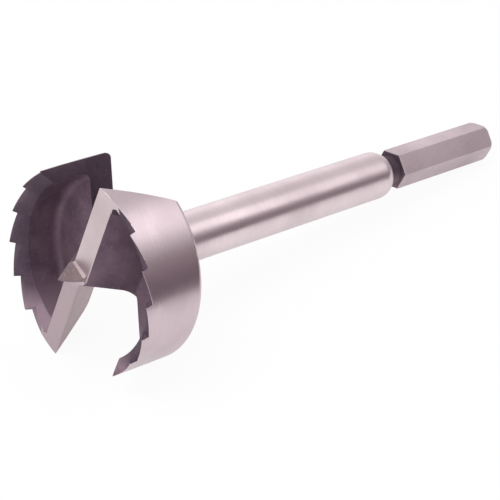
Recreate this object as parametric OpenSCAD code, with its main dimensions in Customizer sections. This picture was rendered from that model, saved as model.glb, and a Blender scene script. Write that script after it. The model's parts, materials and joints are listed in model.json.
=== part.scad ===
// Saw-tooth forstner bit lying on a flat surface, one piece of tool steel.
// The tool axis is drawn upright first, cutting end up, with the tooth tips in the plane z = 0.
// Angles run counter-clockwise seen from the cutting end, from the line along the cutting lips.

/* [Head] */
// Cutting diameter over the rim teeth
head_d = 50.8; // [44:0.2:58]
// Height of the head from the tooth tips to its back face
head_h = 17.4; // [16:0.1:20]
// Radius of the corner round the back of the head
back_round = 1.5; // [1:0.25:3]
// Thickness of the toothed rim, also the width of the bevel inside it
rim_wall = 3.5; // [2.8:0.1:4.2]
// Depth of the front pockets below the tooth tips
pocket_depth = 12; // [10:0.25:12.5]
// Radius at the foot of the pocket wall
pocket_fillet = 2; // [1:0.25:3]

/* [Teeth] */
// Tooth tips on each rim sector, with the one at its trailing end
tooth_tips = 6; // [5:1:6]
// Angle between neighbouring tips
tooth_pitch = 19.6; // [18:0.1:20]
// Depth of the notches between the teeth
tooth_depth = 1.9; // [1.2:0.1:2.4]
// Lean of the short leading face of a tooth
tooth_lean = 13; // [5:1:20]
// Angle of the trailing tip of the first sector
first_tip = 55; // [53:0.5:58]

// Width of the flat that is left on the rim and behind each tip
tip_flat = 0.2; // [0.1:0.05:0.4]

/* [Lips] */
// Distance from the pocket wall out to the start of the heel behind each land
heel_in = 1; // [0.6:0.1:1.6]
// Direction of the heel's face
heel_turn = 37; // [32:1:42]
// Lead of each cutting edge ahead of the tool axis
lip_lead = 1.9; // [1.4:0.1:2.4]
// Width of the land behind the cutting edge
land_w = 5; // [4:0.1:6]
// Set-back of the cutting edges behind the tooth tips
lip_set_back = 0.4; // [0.2:0.05:0.8]
// Relief angle of the lands
lip_relief = 4; // [2:0.5:7]
// Rake angle of the lip faces
lip_rake = 30; // [26:1:33]

/* [Windows] */
// Angle of the outward direction of the window's inner end
window_end_angle = 38.3; // [34:0.5:42]
// Distance of the inner end from the tool axis at the tooth tips
window_end_r = 2.65; // [2.2:0.05:3.4]
// Lean of the inner end, away from the axis toward the back
window_end_lean = 20.4; // [17:0.2:24]
// Direction of the trailing wall of the window
window_wall_angle = 29.3; // [26:0.2:32]
// Lean of the trailing wall, toward the axis at the back
window_wall_lean = 17.3; // [14:0.1:19]
// Radius of the corner between the inner end and the trailing wall
window_corner = 2; // [1:0.25:3]

/* [Spur] */
// Height of the centre point above the tooth tips
spur_h = 5.4; // [4:0.1:7]
// Distance from the axis to the flats of the centre point at the tooth tips
spur_flat_r = 1.9; // [1.5:0.1:2.4]
// Depth of the root of the centre point below the tooth tips
spur_root = 1; // [0.8:0.1:2]
// Turn of the first flat of the centre point
spur_turn = 44; // [30:1:60]

/* [Shank] */
// Diameter of the round shank
shank_d = 12.7; // [12:0.05:13]
// Distance from the tooth tips to the start of the rounded shoulder
shoulder_at = 100.7; // [80:0.5:130]
// Radius of the shoulder at the end of the round shank
shoulder_round = 5; // [3:0.25:6]
// Radius at the root of the shank, against the head
root_round = 1.5; // [0.5:0.25:2.5]
// Diameter of the neck in front of the hexagon
neck_d = 8; // [7:0.1:9]
// Gap between the shoulder and the hexagon
neck_gap = 3.4; // [2:0.2:6]
// Hexagon across the flats
hex_af = 9.525; // [9.5:0.025:11]
// Length of the hexagon
hex_len = 36.2; // [25:0.5:50]
// Length of the cone that breaks the corners at the end of the hexagon
hex_cone = 0.8; // [0.5:0.1:1.5]
// Depth of that cone at the corners
hex_break = 0.5; // [0.3:0.05:0.65]
// Turn of the hexagon about the tool axis
hex_turn = -5.7; // [-15:0.1:15]

/* [Hidden] */
// Sub-parts of the model
// Facet count of the round surfaces
$fn = 96;
over = 1;
span = 200;
head_r = head_d / 2;
shank_r = shank_d / 2;
neck_r = neck_d / 2;
pocket_r = head_r - rim_wall;
hex_r = hex_af / sqrt(3);
hex_end_r = hex_r - hex_break;
shoulder_turn = acos(1 - (shank_r - neck_r) / shoulder_round);
shoulder_end = shoulder_at + shoulder_round * sin(shoulder_turn);
hex_at = shoulder_end + neck_gap;
bit_end = hex_at + hex_len;
// Faces of the window: inward direction and signed distance from the origin of each plane
rake_n = [0, cos(lip_rake), -sin(lip_rake)];
rake_c = (lip_lead + lip_set_back * tan(lip_rake)) * cos(lip_rake);
end_n = [
    cos(window_end_angle) * cos(window_end_lean),
    sin(window_end_angle) * cos(window_end_lean),
    sin(window_end_lean)
];
end_c = window_end_r * cos(window_end_lean);
wall_turn = window_wall_angle - 90;
wall_n = [
    cos(wall_turn) * cos(window_wall_lean),
    sin(wall_turn) * cos(window_wall_lean),
    sin(window_wall_lean)
];
wall_r = head_r * sin(first_tip - window_wall_angle);
wall_c = -wall_r * cos(window_wall_lean);
// Rounded corner between the inner end and the trailing wall
corner_line = cross(end_n, wall_n);
corner_dir = corner_line / norm(corner_line);
corner_dot = end_n * wall_n;
corner_den = 1 - corner_dot * corner_dot;
corner_a = ((end_c + window_corner) - corner_dot * (wall_c + window_corner)) / corner_den;
corner_b = ((wall_c + window_corner) - corner_dot * (end_c + window_corner)) / corner_den;
corner_axis = corner_a * end_n + corner_b * wall_n;
chord_sum = end_n + wall_n;
chord_n = chord_sum / norm(chord_sum);
chord_c = chord_n * corner_axis - window_corner * (chord_n * end_n);
// Round boss that the centre point is ground from, as wide as the lands
spur_boss_r = land_w - lip_lead;
// Ramp from the back of a land down to the pocket floor
ramp_c = (spur_boss_r - lip_set_back * tan(lip_rake)) * cos(lip_rake);
ramp_n = [0, -cos(lip_rake), sin(lip_rake)];
// Heel that carries the land a little way round the rim
heel_n = [-cos(heel_turn), -sin(heel_turn), 0];
heel_c = heel_n * [pocket_r + heel_in, -spur_boss_r, 0];
// Last notch of a sector, from the last tip to the lip
last_tip = first_tip + tooth_pitch * (tooth_tips - 1);
lip_corner = asin(lip_lead / head_r);
last_gap = 180 + lip_corner - last_tip;
break_gap = last_gap / 2;
break_depth = lip_set_back + tan(lip_relief) * head_r * sin(last_gap - break_gap);
// Resting attitude on a lip corner, the far back corner of that window and the end of the hexagon
rest_u = head_h - back_round;
wall_rest = window_wall_angle + asin((wall_r - rest_u * tan(window_wall_lean)) / head_r);
rest_mid = (lip_corner + wall_rest) / 2;
rest_half = (wall_rest - lip_corner) / 2;
hex_rest_u = bit_end - hex_cone;
function turn_at(slope) = rest_mid - asin((rest_u - lip_set_back) * slope / (2 * head_r * sin(rest_half)));
function hex_drop(turn) = hex_r * cos(turn - hex_turn - 60 * round((turn - hex_turn) / 60));
function lip_drop(turn) = head_r * cos(turn - lip_corner);
function slope_at(turn) = (lip_drop(turn) - hex_drop(turn)) / (hex_rest_u - lip_set_back);
first_slope = slope_at(rest_mid);
rest_slope = slope_at(turn_at(first_slope));
rest_turn = turn_at(rest_slope);
lie_tilt = atan(rest_slope);
lift = lip_drop(rest_turn) * cos(lie_tilt) + lip_set_back * sin(lie_tilt);
front_x = -spur_h * cos(lie_tilt);
back_x = bit_end * cos(lie_tilt) + hex_end_r * sin(lie_tilt);
mid_x = (front_x + back_x) / 2;

// Everything on one side of a plane
module beyond(n, c) {
    rotate([0, 0, atan2(n.y, n.x)])
        rotate([0, -asin(n.z), 0])
            translate([c, -span / 2, -span / 2])
                cube(span);
}

// Both halves of a feature that repeats after half a turn
module twice() {
    children();
    rotate([0, 0, 180])
        children();
}

// Turned blank of the head
module head_blank() {
    rotate_extrude()
        union() {
            translate([0, back_round - head_h])
                square([head_r, head_h - back_round]);
            translate([0, -head_h])
                square([head_r - back_round, head_h]);
            translate([head_r - back_round, back_round - head_h])
                circle(back_round);
        }
}

// Space inside the rim, with the bevel that sharpens the rim
module rim_hollow() {
    rotate_extrude()
        union() {
            translate([0, pocket_fillet - pocket_depth])
                square([pocket_r, pocket_depth - pocket_fillet + over]);
            translate([0, -pocket_depth])
                square([pocket_r - pocket_fillet, pocket_depth]);
            translate([pocket_r - pocket_fillet, pocket_fillet - pocket_depth])
                circle(pocket_fillet);
            polygon([
                [0, tip_flat - rim_wall],
                [pocket_r, tip_flat - rim_wall],
                [head_r - tip_flat + over, over],
                [0, over]
            ]);
        }
}

// Front pocket behind one lip
module pocket() {
    intersection() {
        rim_hollow();
        beyond(ramp_n, ramp_c);
        beyond(heel_n, heel_c);
    }
}

// Chip window in front of one lip
module window() {
    intersection() {
        beyond(rake_n, rake_c);
        union() {
            intersection() {
                beyond(end_n, end_c);
                beyond(wall_n, wall_c);
                beyond(chord_n, chord_c);
            }
            translate(corner_axis)
                rotate([0, acos(corner_dir.z), atan2(corner_dir.y, corner_dir.x)])
                    cylinder(r = window_corner, h = span, center = true);
        }
        translate([0, 0, -head_h - over])
            cylinder(r = head_r + over, h = head_h + 2 * over);
    }
}

// Radial cut with a side view given as points along the rim and heights
module rim_cut(turn, points) {
    rotate([0, 0, turn])
        rotate([90, 0, 90])
            translate([0, 0, pocket_r - over])
                linear_extrude(rim_wall + 2 * over)
                    polygon(points);
}

// Notches between the teeth of one sector
module notches() {
    root = tooth_depth * tan(tooth_lean);
    run = head_r * sin(tooth_pitch) - tip_flat;
    for (i = [0 : tooth_tips - 2])
        rim_cut(first_tip + i * tooth_pitch, [[0, 0], [root, -tooth_depth], [run, 0], [run, over], [0, over]]);
    last_run = head_r * sin(last_gap);
    rim_cut(last_tip, [
        [0, 0],
        [root, -tooth_depth],
        [head_r * sin(break_gap), -break_depth],
        [last_run, -lip_set_back],
        [last_run, over],
        [0, over]
    ]);
}

// Space above the land of one lip
module above_land() {
    translate([0, lip_lead, -lip_set_back])
        rotate([lip_relief, 0, 0])
            translate([0, -head_r, 0])
                cube([head_r + over, 2 * head_r, head_r]);
}

// Space above both lands, between the two ramps
module land_cut() {
    intersection() {
        above_land();
        beyond(-ramp_n, -ramp_c);
        rotate([0, 0, 180])
            beyond(-ramp_n, -ramp_c);
    }
}

// One flat side of the centre point
module spur_side(turn) {
    lean = atan(spur_flat_r / spur_h);
    side_n = [cos(turn) * cos(lean), sin(turn) * cos(lean), sin(lean)];
    beyond(-side_n, -spur_flat_r * cos(lean));
}

// Three-sided centre point
module spur() {
    intersection() {
        spur_side(spur_turn);
        spur_side(spur_turn + 120);
        spur_side(spur_turn + 240);
        translate([0, 0, -spur_root])
            cylinder(r = spur_boss_r, h = spur_root + spur_h);
    }
}

// Toothed head with its lips, pockets, windows and centre point
module head() {
    difference() {
        union() {
            difference() {
                head_blank();
                twice()
                    pocket();
                twice()
                    land_cut();
                twice()
                    intersection() {
                        notches();
                        rotate([0, 0, 180])
                            beyond(ramp_n, ramp_c - tip_flat);
                    }
            }
            spur();
        }
        twice()
            window();
    }
}

// Round shank with its root radius and rounded shoulder, and the neck behind it
module shank() {
    rotate_extrude()
        difference() {
            union() {
                translate([0, -shoulder_at])
                    square([shank_r, shoulder_at - head_h]);
                translate([0, -hex_at - over])
                    square([neck_r, hex_at + over - head_h]);
                intersection() {
                    translate([shank_r - shoulder_round, -shoulder_at])
                        circle(shoulder_round);
                    translate([0, -shoulder_end])
                        square([shank_r, shoulder_end - head_h]);
                }
                translate([0, -head_h - root_round])
                    square([shank_r + root_round, root_round + over]);
            }
            translate([shank_r + root_round, -head_h - root_round])
                circle(root_round);
        }
}

// Hexagon drive end with a cone at its tip
module hex_end() {
    intersection() {
        translate([0, 0, -bit_end])
            rotate([0, 0, hex_turn])
                cylinder(r = hex_r, h = hex_len, $fn = 6);
        rotate_extrude()
            polygon([
                [0, -bit_end],
                [hex_end_r, -bit_end],
                [hex_r + over, hex_cone + over * hex_cone / hex_break - bit_end],
                [hex_r + over, over - hex_at],
                [0, over - hex_at]
            ]);
    }
}

module forstner_bit() {
    color([0.72, 0.7, 0.7])
        translate([-mid_x, 0, lift])
            rotate([0, lie_tilt - 90, 0])
                rotate([0, 0, 180 - rest_turn])
                    union() {
                        head();
                        shank();
                        hex_end();
                    }
}

forstner_bit();
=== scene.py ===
"""Saw-tooth forstner bit lying on a pale table.

Satin ground steel outside, with a dark skin from hardening left in the recesses.
"""
import json
import math

import bmesh
import bpy
from mathutils import Matrix, Vector
from mathutils.bvhtree import BVHTree


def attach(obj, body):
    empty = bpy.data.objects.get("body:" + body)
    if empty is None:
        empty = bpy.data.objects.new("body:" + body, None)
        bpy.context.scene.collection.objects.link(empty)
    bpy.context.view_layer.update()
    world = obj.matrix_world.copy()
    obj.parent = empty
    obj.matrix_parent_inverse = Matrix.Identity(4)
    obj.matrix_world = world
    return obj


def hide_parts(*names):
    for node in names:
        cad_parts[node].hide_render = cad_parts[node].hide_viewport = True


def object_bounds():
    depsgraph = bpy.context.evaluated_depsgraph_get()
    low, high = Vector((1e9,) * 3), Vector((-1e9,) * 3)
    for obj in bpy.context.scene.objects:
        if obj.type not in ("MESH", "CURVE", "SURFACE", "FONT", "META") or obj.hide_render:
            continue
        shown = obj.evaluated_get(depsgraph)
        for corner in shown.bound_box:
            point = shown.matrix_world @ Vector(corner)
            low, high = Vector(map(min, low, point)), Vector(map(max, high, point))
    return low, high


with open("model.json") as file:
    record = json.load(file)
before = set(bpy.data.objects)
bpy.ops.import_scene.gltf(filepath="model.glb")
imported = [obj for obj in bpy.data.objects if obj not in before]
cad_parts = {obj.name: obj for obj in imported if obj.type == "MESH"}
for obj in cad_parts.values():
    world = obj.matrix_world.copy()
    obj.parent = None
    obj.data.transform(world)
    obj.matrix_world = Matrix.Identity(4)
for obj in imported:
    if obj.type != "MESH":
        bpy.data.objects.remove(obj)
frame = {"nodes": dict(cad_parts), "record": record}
cad_low, cad_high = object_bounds()

# Tool axes in the lying pose: TAILWARD runs from the cutting end to the hexagon and dips
# toward the table, and places on the tool are measured from the middle of the tooth tips
SHANK = next(m for m in frame["record"]["mounts"] if m["name"] == "shank")
HEX = next(m for m in frame["record"]["mounts"] if m["name"] == "hex_drive")
TAILWARD = Vector(SHANK["axis"]).normalized()
TOOL_LENGTH = 0.14454
TIP_CENTRE = Vector(HEX["pos_m"]) - TOOL_LENGTH * TAILWARD
SIDEWAYS = Vector((0, 1, 0))
UPWARD = TAILWARD.cross(SIDEWAYS)

# Sizes of the tool, in metres, and the rake under its lips
HEAD_R = 0.0254
HEAD_H = 0.0174
HEAD_ROUND = 0.0014
HEAD_ROOT = 0.0020
POCKET_R = 0.0219
POCKET_DEPTH = 0.012
POCKET_FILLET = 0.002
LAND_BACK = 0.0031
HEEL_BACK = 0.0054
SHOULDER_AT = 0.1007
SHOULDER_DEPTH = 0.0038
HEX_AT = 0.10834
EDGE_WIDTH = 0.00012
RAKE = math.radians(30)

# The lips lie at the resting turn from straight down
LIP_TURN = math.radians(16.45)
LIP_SIDE, LIP_UP = math.sin(LIP_TURN), -math.cos(LIP_TURN)

# Trailing walls of the two windows, by their turn from the lips, lean and distance from the axis
WALL_TURN = 29.3
WALL_LEAN = math.radians(17.3)
WALL_OFFSET = 0.01052

# How far each finish reaches on the tool
NEAR = 0.0002
ROOT_START = 0.0004
BACK_ROUND = 0.0018
SIDE_DEPTH = 0.0006
POINT_R = 0.006
POINT_FOOT_R = 0.0045
POINT_FOOT_DEPTH = 0.0025
LAND_DEPTH = 0.0035
LAND_MARGIN = 0.0005
HEEL_DEPTH = 0.0025
HEEL_MARGIN = 0.0004
RIM_DEPTH = 0.0045
WALL_MARGIN = 0.0003

# How squarely a face looks in a direction
SQUARE = 0.9
LAND_SQUARE = 0.95
POCKET_SQUARE = 0.97
WALL_SQUARE = 0.99
LEVEL = 0.1
BACKWARD = -0.05
INWARD = -0.5

# Steps across a broken edge, and working limits of the mesh
EDGE_STEPS = 2
SAME_PLACE = 2e-6
MERGED_PLACE = 1e-7
SLIVER = 3e-5
FLAT_ANGLE = math.radians(0.4)
SHARP_ANGLE = math.radians(28)
STRAYED = 1.2 * EDGE_WIDTH
BESIDE = 1.5 * EDGE_WIDTH

# Finishes, in the order of the material slots
# The third finish is painted light: a light colour that lifts the shade in the hollow at the foot
# of the point. It also marks new broken edges until they get their own finish
GROUND, SKIN, PAINTED_LIGHT, LAND, POINT, DRIVE, RAKE_FACE, TURNED, RIM = range(9)
FLAT_FINISHES = (PAINTED_LIGHT, LAND, POINT, DRIVE, RAKE_FACE)
EDGE_ORDER = (POINT, LAND, RAKE_FACE, GROUND, DRIVE, TURNED, RIM, PAINTED_LIGHT)

# Directions of grinding lines, as noise scales along and across the tool
LINES_AROUND = (9000, 260, 260)
LINES_ACROSS = (1800, 1800, 7000)
LINES_ALONG = (500, 5000, 5000)
LINES_IN_SKIN = (900, 2600, 2600)

# Bare steel: its cloud, the shares of lines and cloud in its shade, and the spans that show
STEEL_CLOUD = 70.0
LINE_SHARE = 0.45
CLOUD_SHARE = 0.55
SHADE_SPAN = (0.36, 0.64)
GLOSS_SPAN = (0.3, 0.7)
SPUN_GLOSS = 0.2
LINE_DEPTH = 0.00004

# Skin: its patches, pits and rubbed spots, the spans that show, and its gloss
PATCH_SIZE = 150.0
PIT_SIZE = 1700.0
SKIN_CLOUD = 45.0
PATCH_SPAN = (0.36, 0.66)
SPOT_SPAN = (0.58, 0.74)
SPOT_SHARE = 0.5
SPOT_GAIN = 1.5
SKIN_LINE_SHARE = 0.4
SKIN_ROUGH = (0.44, 0.62)
SKIN_METAL = 0.25
SKIN_TINT = (0.92, 0.62, 0.86, 1)
PIT_DEPTH = 0.00005

# Painted light near the table: heights between which the skin's lighter colour ends, its share,
# and that colour, which stands in for light bounced off the table
BOUNCE_LIGHT_HEIGHTS = (0.010, 0.015)
BOUNCE_LIGHT_SHARE = 0.8
BOUNCE_LIT_SKIN = (0.290, 0.215, 0.252)
# Painted shade on the lower land, standing in for the table's shadow seen in it: heights between
# which it ends and its share
LAND_SHADE_HEIGHTS = (0.024, 0.031)
LAND_SHADE_SHARE = 0.9
BORDER_WAVER = 0.006

# Camera
EYE = (-0.294247, -0.297000, 0.278326)
EYE_RIGHT = Vector((0.732703, -0.680416, 0.013441))
EYE_UP = Vector((0.368470, 0.413234, 0.832747))
SENSOR = 36
LENS = 138.87

# Light of the room in front, overhead and far behind, with the spans between them, and the
# share of plain white in what reflections see of it
ROOM_LOW = (0.225, 0.190, 0.207)
ROOM_HIGH = (0.742, 0.724, 0.730)
ROOM_FAR = (1.412, 1.365, 1.388)
OVERHEAD_SPAN = (0.0, 0.7)
FAR_SPAN = (0.1, 0.6)
WHITE = (1.0, 1.0, 1.0)
ROOM_GLOSS = 0.15

# Table: half its width, its paint, its glow, and the share of the glow in reflections
TABLE_HALF = 4.0
TABLE_PAINT = (0.9, 0.9, 0.9, 1)
TABLE_GLOW = 0.93
TABLE_GLOSS = 0.60

# Dark card beside the tool on the camera's side, lower past the shank
CARD_Y = -0.075
CARD_LEFT, CARD_RIGHT = -0.3, 0.7
CARD_TOP = 0.062
CARD_SHANK_TOP = 0.048
CARD_LOW_TOP = 0.0395
CARD_STEP = 0.105
CARD_FADE = (0.25 * CARD_TOP, CARD_TOP)
CARD_FOOT = (0.150, 0.108, 0.130)
CARD_HEAD = (0.41, 0.355, 0.385)

# Pale card above it, which makes the bright streak along the shank
PALE_FOOT = 0.066
PALE_TOP = 0.17
PALE_OUTLINE = [(0.075, PALE_FOOT), (0.14, PALE_FOOT), (0.32, PALE_TOP), (0.14, PALE_TOP)]
PALE_LOW = (1.60, 1.56, 1.58)
PALE_HIGH = (1.25, 1.22, 1.23)

# Lamps: name, place, target, width, height and power
LAMPS = [
    ("soft_box", (0.53, -0.40, 0.62), (0, 0, 0.02), 0.75, 0.36, 0.68),
    ("top_light", (-0.35, 0.1, 0.9), (0, 0, 0.02), 0.5, 0.5, 3.0),
    ("front_light", (-0.62, -0.22, 0.36), (-0.06, 0, 0.03), 0.35, 0.35, 1.2),
]


def across_tool(turn):
    """Direction across the tool axis, turned from the line of the lips."""
    side = LIP_SIDE * math.cos(turn) + LIP_UP * math.sin(turn)
    up = LIP_UP * math.cos(turn) - LIP_SIDE * math.sin(turn)
    return side * SIDEWAYS + up * UPWARD


# Directions that the trailing walls of the two windows look in
WINDOW_WALL = [
    math.cos(WALL_LEAN) * across_tool(math.radians(turn)) - math.sin(WALL_LEAN) * TAILWARD
    for turn in (WALL_TURN - 90, WALL_TURN + 90)
]


def show(thing):
    bpy.context.scene.collection.objects.link(thing)


def make_camera():
    cam = bpy.data.objects.new("camera", bpy.data.cameras.new("camera"))
    show(cam)
    turn = Matrix((EYE_RIGHT, EYE_UP, EYE_RIGHT.cross(EYE_UP))).transposed().to_4x4()
    cam.matrix_world = Matrix.Translation(EYE) @ turn
    cam.data.sensor_width = SENSOR
    cam.data.lens = LENS
    cam.data.clip_start = 0.01
    cam.data.clip_end = 20
    bpy.context.scene.camera = cam


# Shader helpers
def link(tree, a, b):
    tree.links.new(a, b)


def add(tree, kind, **values):
    node = tree.nodes.new(kind)
    for key, value in values.items():
        setattr(node, key, value)
    return node


def feed(tree, socket, value):
    """Give a socket a number, a colour or a link from another node."""
    if isinstance(value, bpy.types.NodeSocket):
        link(tree, value, socket)
    elif isinstance(value, tuple):
        socket.default_value = (*value, 1)
    else:
        socket.default_value = value


def group_tree(name, inputs, outputs):
    """Empty node group with its sockets. Each material that uses it sets all its inputs."""
    tree = bpy.data.node_groups.new(name, "ShaderNodeTree")
    for way, sockets in (("INPUT", inputs), ("OUTPUT", outputs)):
        for label, kind in sockets:
            tree.interface.new_socket(label, in_out=way, socket_type=kind)
    return tree, tree.nodes.new("NodeGroupInput"), tree.nodes.new("NodeGroupOutput")


def use_group(tree, group, **values):
    """Place a group with its own values, and give its outputs."""
    node = add(tree, "ShaderNodeGroup", node_tree=group)
    for key, value in values.items():
        node.inputs[key.replace("_", " ")].default_value = value
    return node.outputs


def tool_coordinates(tree):
    """Object coordinates turned so that X runs along the tool axis."""
    coords = add(tree, "ShaderNodeTexCoord")
    mapping = add(tree, "ShaderNodeMapping", vector_type="TEXTURE")
    mapping.inputs["Location"].default_value = TIP_CENTRE
    mapping.inputs["Rotation"].default_value = (0, math.asin(-TAILWARD.z), 0)
    link(tree, coords.outputs["Object"], mapping.inputs["Vector"])
    return mapping.outputs["Vector"]


def object_height(tree):
    coords = add(tree, "ShaderNodeTexCoord")
    parts = add(tree, "ShaderNodeSeparateXYZ")
    link(tree, coords.outputs["Object"], parts.inputs[0])
    return parts.outputs["Z"]


def math_node(tree, operation, a, b):
    node = add(tree, "ShaderNodeMath", operation=operation)
    feed(tree, node.inputs[0], a)
    feed(tree, node.inputs[1], b)
    return node.outputs[0]


def add_share(tree, a, b, share):
    """A value with a share of another added."""
    return math_node(tree, "ADD", a, math_node(tree, "MULTIPLY", b, share))


def noise(tree, vector, scale, detail, rough=0.5):
    node = add(tree, "ShaderNodeTexNoise")
    feed(tree, node.inputs["Scale"], scale)
    node.inputs["Detail"].default_value = detail
    node.inputs["Roughness"].default_value = rough
    link(tree, vector, node.inputs["Vector"])
    return node.outputs["Fac"]


def ramp(tree, value, span, at_low=0.0, at_high=1.0):
    """Even change from one value to another over a span."""
    node = add(tree, "ShaderNodeMapRange", clamp=True)
    node.inputs["From Min"].default_value, node.inputs["From Max"].default_value = span
    node.inputs["To Min"].default_value = at_low
    node.inputs["To Max"].default_value = at_high
    link(tree, value, node.inputs["Value"])
    return node.outputs["Result"]


def mix_colour(tree, share, a, b):
    node = add(tree, "ShaderNodeMix", data_type="RGBA")
    for socket, value in ((node.inputs[0], share), (node.inputs[6], a), (node.inputs[7], b)):
        feed(tree, socket, value)
    return node.outputs[2]


def bump(tree, height, shader, strength, distance):
    node = add(tree, "ShaderNodeBump")
    node.inputs["Strength"].default_value = strength
    node.inputs["Distance"].default_value = distance
    link(tree, height, node.inputs["Height"])
    link(tree, node.outputs["Normal"], shader.inputs["Normal"])


def seen_white(tree, gloss):
    """Share of white in what a ray sees: all for the camera and through glass, some in gloss."""
    paths = add(tree, "ShaderNodeLightPath").outputs
    plain = math_node(tree, "MAXIMUM", paths["Is Camera Ray"], paths["Is Transmission Ray"])
    glossy = math_node(tree, "MULTIPLY", paths["Is Glossy Ray"], gloss)
    return math_node(tree, "MAXIMUM", plain, glossy)


def blank_material(name):
    material = bpy.data.materials.new(name)
    material.use_nodes = True
    tree = material.node_tree
    return material, tree, tree.nodes["Principled BSDF"]


# Finishes of the steel
def grinding_marks():
    """Fine lines left by grinding, in one direction, and a broad cloud of wear."""
    tree, given, out = group_tree(
        "grinding_marks",
        [("Along", "NodeSocketVector"), ("Cloud Size", "NodeSocketFloat")],
        [("Lines", "NodeSocketFloat"), ("Cloud", "NodeSocketFloat")],
    )
    place = tool_coordinates(tree)
    drawn_out = add(tree, "ShaderNodeVectorMath", operation="MULTIPLY")
    link(tree, place, drawn_out.inputs[0])
    link(tree, given.outputs["Along"], drawn_out.inputs[1])
    lines = noise(tree, drawn_out.outputs[0], 1.0, detail=4, rough=0.7)
    link(tree, lines, out.inputs["Lines"])
    link(tree, noise(tree, place, given.outputs["Cloud Size"], detail=4), out.inputs["Cloud"])
    return tree


def heat_skin():
    """Mottled oxide skin: broad patches and small pits."""
    tree, given, out = group_tree(
        "heat_skin",
        [("Patch Size", "NodeSocketFloat"), ("Pit Size", "NodeSocketFloat")],
        [("Patches", "NodeSocketFloat"), ("Pits", "NodeSocketFloat")],
    )
    place = tool_coordinates(tree)
    link(tree, noise(tree, place, given.outputs["Patch Size"], detail=5), out.inputs["Patches"])
    link(tree, noise(tree, place, given.outputs["Pit Size"], detail=2), out.inputs["Pits"])
    return tree


def low_down(tree, cloud, heights, share):
    """Mask of what lies close to the table, with an uneven border between two heights."""
    uneven = add_share(tree, object_height(tree), cloud, BORDER_WAVER)
    return ramp(tree, uneven, heights, share, 0.0)


def ground_material(name, marks, along, bright, dull, rough, anisotropic=0.0, painted_shade=None):
    """Bare steel with grinding lines, and, if given, a colour for its lower half as painted
    shade, standing in for the table's shadow seen in it.
    """
    material, tree, shader = blank_material(name)
    use = use_group(tree, marks, Along=along, Cloud_Size=STEEL_CLOUD)
    lines, cloud = use["Lines"], use["Cloud"]
    shade = add_share(tree, math_node(tree, "MULTIPLY", lines, LINE_SHARE), cloud, CLOUD_SHARE)
    base = mix_colour(tree, ramp(tree, shade, SHADE_SPAN), dull, bright)
    if painted_shade:
        # Painted shade: the part near the table takes the given darker colour
        base = mix_colour(tree, low_down(tree, cloud, LAND_SHADE_HEIGHTS, LAND_SHADE_SHARE), base, painted_shade)
    smooth, coarse = rough
    link(tree, base, shader.inputs["Base Color"])
    link(tree, ramp(tree, shade, GLOSS_SPAN, coarse, smooth), shader.inputs["Roughness"])
    shader.inputs["Metallic"].default_value = 1.0
    shader.inputs["Anisotropic"].default_value = anisotropic
    bump(tree, lines, shader, strength=0.08, distance=LINE_DEPTH)
    return material


def skin_material(name, skin, marks, dark, light):
    """Purple-brown oxide left by hardening, with lighter spots, and lighter near the table as
    painted light bounced off it.
    """
    material, tree, shader = blank_material(name)
    use = use_group(tree, skin, Patch_Size=PATCH_SIZE, Pit_Size=PIT_SIZE)
    patches, pits = use["Patches"], use["Pits"]
    wear = use_group(tree, marks, Along=LINES_IN_SKIN, Cloud_Size=SKIN_CLOUD)
    spots = ramp(tree, pits, SPOT_SPAN, 0.0, SPOT_SHARE)
    painted_bounce_light = low_down(tree, patches, BOUNCE_LIGHT_HEIGHTS, BOUNCE_LIGHT_SHARE)
    base = mix_colour(tree, ramp(tree, patches, PATCH_SPAN), dark, light)
    base = mix_colour(tree, spots, base, tuple(SPOT_GAIN * part for part in light))
    # Painted light: the skin near the table is lightened in place of light bounced off the table
    base = mix_colour(tree, painted_bounce_light, base, BOUNCE_LIT_SKIN)
    smooth, coarse = SKIN_ROUGH
    link(tree, base, shader.inputs["Base Color"])
    link(tree, ramp(tree, wear["Cloud"], GLOSS_SPAN, coarse, smooth), shader.inputs["Roughness"])
    shader.inputs["Metallic"].default_value = SKIN_METAL
    shader.inputs["Specular Tint"].default_value = SKIN_TINT
    height = add_share(tree, pits, wear["Lines"], SKIN_LINE_SHARE)
    bump(tree, height, shader, strength=0.25, distance=PIT_DEPTH)
    return material


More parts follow.
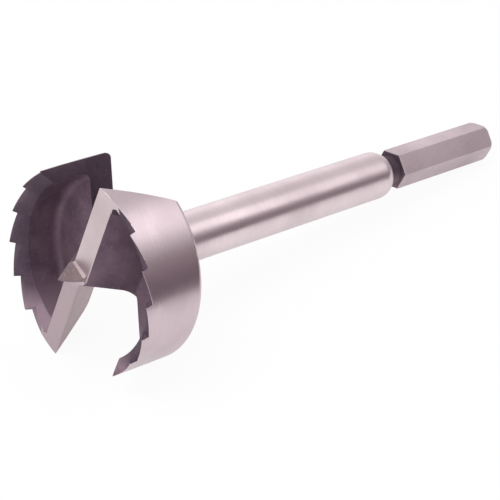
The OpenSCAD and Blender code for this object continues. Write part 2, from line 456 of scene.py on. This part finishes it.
def finishes():
    """Materials in the order of the finishes."""
    marks = grinding_marks()
    skin = heat_skin()
    return [
        ground_material(
            "ground_steel", marks, LINES_AROUND,
            bright=(0.71, 0.60, 0.63), dull=(0.58, 0.475, 0.51), rough=(0.24, 0.36),
            anisotropic=SPUN_GLOSS,
        ),
        skin_material(
            "hardened_skin", skin, marks, dark=(0.102, 0.067, 0.092), light=(0.170, 0.117, 0.147),
        ),
        # Painted light: a light colour that lifts the shade in the hollow at the foot of the
        # point
        skin_material(
            "foot_painted_light", skin, marks, dark=(0.40, 0.335, 0.340), light=(0.56, 0.475, 0.485),
        ),
        ground_material(
            "honed_land", marks, LINES_ACROSS,
            bright=(0.69, 0.595, 0.615), dull=(0.56, 0.47, 0.485), rough=(0.30, 0.46),
            # Darker colour painted on the lower lip's land as shade, in place of the table's
            # shadow reflected in it
            painted_shade=(0.425, 0.335, 0.362),
        ),
        skin_material(
            "point_steel", skin, marks, dark=(0.19, 0.148, 0.150), light=(0.265, 0.208, 0.210),
        ),
        ground_material(
            "drive_steel", marks, LINES_ALONG,
            bright=(0.63, 0.53, 0.56), dull=(0.485, 0.40, 0.43), rough=(0.36, 0.52),
        ),
        ground_material(
            "rake_steel", marks, LINES_ACROSS,
            bright=(0.45, 0.320, 0.342), dull=(0.345, 0.240, 0.262), rough=(0.30, 0.46),
        ),
        ground_material(
            "turned_steel", marks, LINES_AROUND,
            bright=(0.81, 0.695, 0.72), dull=(0.66, 0.56, 0.585), rough=(0.25, 0.40),
            anisotropic=SPUN_GLOSS,
        ),
        skin_material(
            "hardened_rim", skin, marks, dark=(0.049, 0.034, 0.048), light=(0.083, 0.059, 0.076),
        ),
    ]


# Which finish a face of the tool has, from its place and direction
def tool_place(point):
    """Distance behind the tooth tips, and the two distances across the tool axis."""
    p = point - TIP_CENTRE
    return p.dot(TAILWARD), p.dot(SIDEWAYS), p.dot(UPWARD)


def is_rake_face(normal, ahead):
    """Whether a face looks away from the line of the lips and back by the rake."""
    facing = normal.dot(SIDEWAYS) * -LIP_UP + normal.dot(UPWARD) * LIP_SIDE
    return abs(facing) / math.cos(RAKE) > SQUARE and abs(ahead + math.sin(RAKE)) < LEVEL


def on_window_wall(centre, normal):
    """Whether a face lies in the trailing wall of a window."""
    return any(
        normal.dot(wall) > WALL_SQUARE
        and abs(wall.dot(centre - TIP_CENTRE) + WALL_OFFSET) < WALL_MARGIN
        for wall in WINDOW_WALL
    )


def finish_of(centre, normal):
    along, side, up = tool_place(centre)
    r = math.hypot(side, up)
    out = (normal.dot(SIDEWAYS) * side + normal.dot(UPWARD) * up) / max(r, 1e-9)
    ahead = -normal.dot(TAILWARD)
    if along > HEX_AT - NEAR:
        return RIM if ahead > SQUARE else DRIVE
    if along > SHOULDER_AT + SHOULDER_DEPTH:
        return RIM
    if along > HEAD_H + ROOT_START:
        return TURNED
    if along > HEAD_H - 0.5 * NEAR or (r > HEAD_R - BACK_ROUND and ahead < BACKWARD):
        return GROUND
    if r > HEAD_R - SIDE_DEPTH and out > SQUARE and abs(ahead) < LEVEL:
        return GROUND
    if along < -NEAR and r < POINT_R:
        return POINT
    lip_across = abs(up * LIP_SIDE - side * LIP_UP)
    on_heel = (
        r > POCKET_R and LAND_BACK - HEEL_MARGIN < lip_across < HEEL_BACK and along < HEEL_DEPTH
    )
    on_land = lip_across < LAND_BACK + LAND_MARGIN or on_heel
    if ahead > LAND_SQUARE and along < LAND_DEPTH and on_land:
        return LAND
    if on_heel and out < INWARD and abs(ahead) < LEVEL:
        return LAND
    if is_rake_face(normal, ahead):
        return RAKE_FACE
    if along < POINT_FOOT_DEPTH and r < POINT_FOOT_R:
        # The foot of the point, where not level, gets painted light, a light colour that lifts
        # the shade of its hollow
        return LAND if ahead > SQUARE else PAINTED_LIGHT
    on_rim = r > POCKET_R - NEAR and along < RIM_DEPTH
    return RIM if on_rim or on_window_wall(centre, normal) else SKIN


def edge_finish(beside):
    """Finish of a broken edge between faces of these finishes."""
    return next((finish for finish in EDGE_ORDER if finish in beside), SKIN)


def can_break(edge):
    """Whether a sharp edge stands out and is long enough to be broken."""
    return edge.is_convex and edge.calc_length() > EDGE_WIDTH


def true_normal(point, face):
    """Direction of the surface at a corner of a flat or turned face, or None for any other."""
    if face.material_index in FLAT_FINISHES:
        return face.normal.copy()
    along, side, up = tool_place(point)
    outward = (side * SIDEWAYS + up * UPWARD).normalized()
    on_head = face.material_index == GROUND and along < HEAD_H - HEAD_ROUND
    on_shank = face.material_index == TURNED and HEAD_H + HEAD_ROOT < along < SHOULDER_AT
    if on_head or on_shank:
        return outward
    if face.material_index != SKIN:
        return None
    ring_r, ring_at = POCKET_R - POCKET_FILLET, POCKET_DEPTH - POCKET_FILLET
    to_ring = (ring_r - math.hypot(side, up)) * outward + (ring_at - along) * TAILWARD
    turned = -outward if along < ring_at else to_ring.normalized()
    return turned if turned.dot(face.normal) > POCKET_SQUARE else None


# The tool
def finished_solid(materials):
    """Mesh of the tool's own solid with a finish on each face, and its sharp edges marked."""
    mesh = frame["nodes"]["forstner_bit"].data.copy()
    mesh.name = "forstner_bit_dressed"
    mesh.materials.clear()
    for material in materials:
        mesh.materials.append(material)
    bm = bmesh.new()
    bm.from_mesh(mesh)
    bmesh.ops.remove_doubles(bm, verts=bm.verts, dist=SAME_PLACE)
    bmesh.ops.dissolve_degenerate(bm, edges=bm.edges, dist=SLIVER)
    for face in bm.faces:
        face.material_index = finish_of(face.calc_center_median(), face.normal)
        face.smooth = True
    bmesh.ops.dissolve_limit(
        bm, angle_limit=FLAT_ANGLE, verts=bm.verts, edges=bm.edges, delimit={"MATERIAL"},
    )
    weight = bm.edges.layers.float.new("bevel_weight_edge")
    for edge in bm.edges:
        if edge.calc_face_angle(0.0) > SHARP_ANGLE:
            edge[weight] = 1.0 if can_break(edge) else 0.0
            edge.smooth = can_break(edge)
    bm.to_mesh(mesh)
    solid = BVHTree.FromBMesh(bm)
    face_finish = [face.material_index for face in bm.faces]
    bm.free()
    return mesh, solid, face_finish


def break_edges(bit):
    """Break the marked edges. The new faces take the slot of the light colour painted at the
    point's foot until they get their own finish.
    """
    bevel = bit.modifiers.new("broken_edges", "BEVEL")
    bevel.width = EDGE_WIDTH
    bevel.segments = EDGE_STEPS
    bevel.limit_method = "WEIGHT"
    bevel.use_clamp_overlap = False
    bevel.harden_normals = True
    bevel.material = PAINTED_LIGHT
    depsgraph = bpy.context.evaluated_depsgraph_get()
    bit.data = bpy.data.meshes.new_from_object(bit.evaluated_get(depsgraph))
    bit.modifiers.clear()


def settle_corners(mesh, solid):
    """Bring corners that strayed back to the solid, and merge those that meet."""
    for vertex in mesh.vertices:
        nearest, _, _, distance = solid.find_nearest(vertex.co)
        if distance > STRAYED:
            vertex.co = nearest
    bm = bmesh.new()
    bm.from_mesh(mesh)
    bmesh.ops.remove_doubles(bm, verts=bm.verts, dist=MERGED_PLACE)
    bm.to_mesh(mesh)
    bm.free()


def set_normals(mesh):
    """Give flat and turned faces the directions of the true surface."""
    normals = [corner.vector.copy() for corner in mesh.corner_normals]
    for face in mesh.polygons:
        for corner, vertex in zip(face.loop_indices, face.vertices):
            normals[corner] = true_normal(mesh.vertices[vertex].co, face) or normals[corner]
    mesh.normals_split_custom_set(normals)


def finish_edges(mesh, solid, face_finish):
    """Give each broken edge a finish of the faces beside it."""
    for face in mesh.polygons:
        if face.material_index == PAINTED_LIGHT:
            hits = solid.find_nearest_range(face.center, BESIDE)
            face.material_index = edge_finish({face_finish[hit[2]] for hit in hits})


def make_bit():
    """The tool's own solid with broken edges and its finishes."""
    mesh, solid, face_finish = finished_solid(finishes())
    bit = bpy.data.objects.new("forstner_bit_steel", mesh)
    show(bit)
    break_edges(bit)
    settle_corners(bit.data, solid)
    set_normals(bit.data)
    finish_edges(bit.data, solid, face_finish)
    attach(bit, "root")
    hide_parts("forstner_bit")


# Table, cards and studio light
def make_table():
    """White table that keeps the tool's shadow."""
    corners = [(-1, -1), (1, -1), (1, 1), (-1, 1)]
    mesh = bpy.data.meshes.new("table")
    mesh.from_pydata(
        [(TABLE_HALF * x, TABLE_HALF * y, cad_low.z) for x, y in corners], [], [(0, 1, 2, 3)],
    )
    table = bpy.data.objects.new("table", mesh)
    show(table)
    material, tree, shader = blank_material("table_white")
    shader.inputs["Base Color"].default_value = TABLE_PAINT
    shader.inputs["Roughness"].default_value = 0.9
    glow = add(tree, "ShaderNodeEmission")
    mix = add(tree, "ShaderNodeMixShader")
    white = math_node(tree, "MULTIPLY", seen_white(tree, TABLE_GLOSS), TABLE_GLOW)
    link(tree, white, mix.inputs[0])
    link(tree, shader.outputs[0], mix.inputs[1])
    link(tree, glow.outputs[0], mix.inputs[2])
    link(tree, mix.outputs[0], tree.nodes["Material Output"].inputs["Surface"])
    mesh.materials.append(material)


def make_card(name, outline, heights, foot, head):
    """Upright card that only reflections see, fading from one colour to another by height."""
    mesh = bpy.data.meshes.new(name)
    mesh.from_pydata([(x, CARD_Y, z) for x, z in outline], [], [range(len(outline))])
    card = bpy.data.objects.new(name, mesh)
    show(card)
    material, tree, shader = blank_material(name)
    shader.inputs["Base Color"].default_value = (0, 0, 0, 1)
    shader.inputs["Specular IOR Level"].default_value = 0.0
    fade = ramp(tree, object_height(tree), heights)
    link(tree, mix_colour(tree, fade, foot, head), shader.inputs["Emission Color"])
    shader.inputs["Emission Strength"].default_value = 1.0
    mesh.materials.append(material)
    card.visible_camera = False
    card.visible_diffuse = False
    card.visible_shadow = False


def make_cards():
    dark_outline = [
        (CARD_LEFT, cad_low.z),
        (CARD_RIGHT, cad_low.z),
        (CARD_RIGHT, CARD_LOW_TOP),
        (CARD_STEP, CARD_LOW_TOP),
        (CARD_STEP, CARD_SHANK_TOP),
        (0.0, CARD_TOP),
        (CARD_LEFT, CARD_TOP),
    ]
    make_card("dark_card", dark_outline, CARD_FADE, CARD_FOOT, CARD_HEAD)
    make_card("pale_card", PALE_OUTLINE, (PALE_FOOT, PALE_TOP), PALE_LOW, PALE_HIGH)


def make_lamp(name, place, target, width, height, power):
    data = bpy.data.lights.new(name, "AREA")
    data.shape = "RECTANGLE"
    data.size = width
    data.size_y = height
    data.energy = power
    lamp = bpy.data.objects.new(name, data)
    show(lamp)
    lamp.location = place
    lamp.rotation_mode = "QUATERNION"
    lamp.rotation_quaternion = (Vector(target) - Vector(place)).to_track_quat("-Z", "Y")


def make_room():
    """Room that is pale overhead and behind the tool and dimmer in front."""
    world = bpy.data.worlds.new("studio")
    bpy.context.scene.world = world
    world.use_nodes = True
    tree = world.node_tree
    coords = add(tree, "ShaderNodeTexCoord")
    towards = add(tree, "ShaderNodeSeparateXYZ")
    link(tree, coords.outputs["Generated"], towards.inputs[0])
    overhead = ramp(tree, towards.outputs["Z"], OVERHEAD_SPAN)
    far = ramp(tree, towards.outputs["Y"], FAR_SPAN)
    walls = mix_colour(tree, far, ROOM_LOW, ROOM_FAR)
    room = mix_colour(tree, overhead, walls, ROOM_HIGH)
    colour = mix_colour(tree, seen_white(tree, ROOM_GLOSS), room, WHITE)
    link(tree, colour, tree.nodes["Background"].inputs["Color"])


make_camera()
make_bit()
make_table()
make_cards()
make_room()
for lamp_row in LAMPS:
    make_lamp(*lamp_row)
bpy.context.scene.view_settings.view_transform = "Standard"
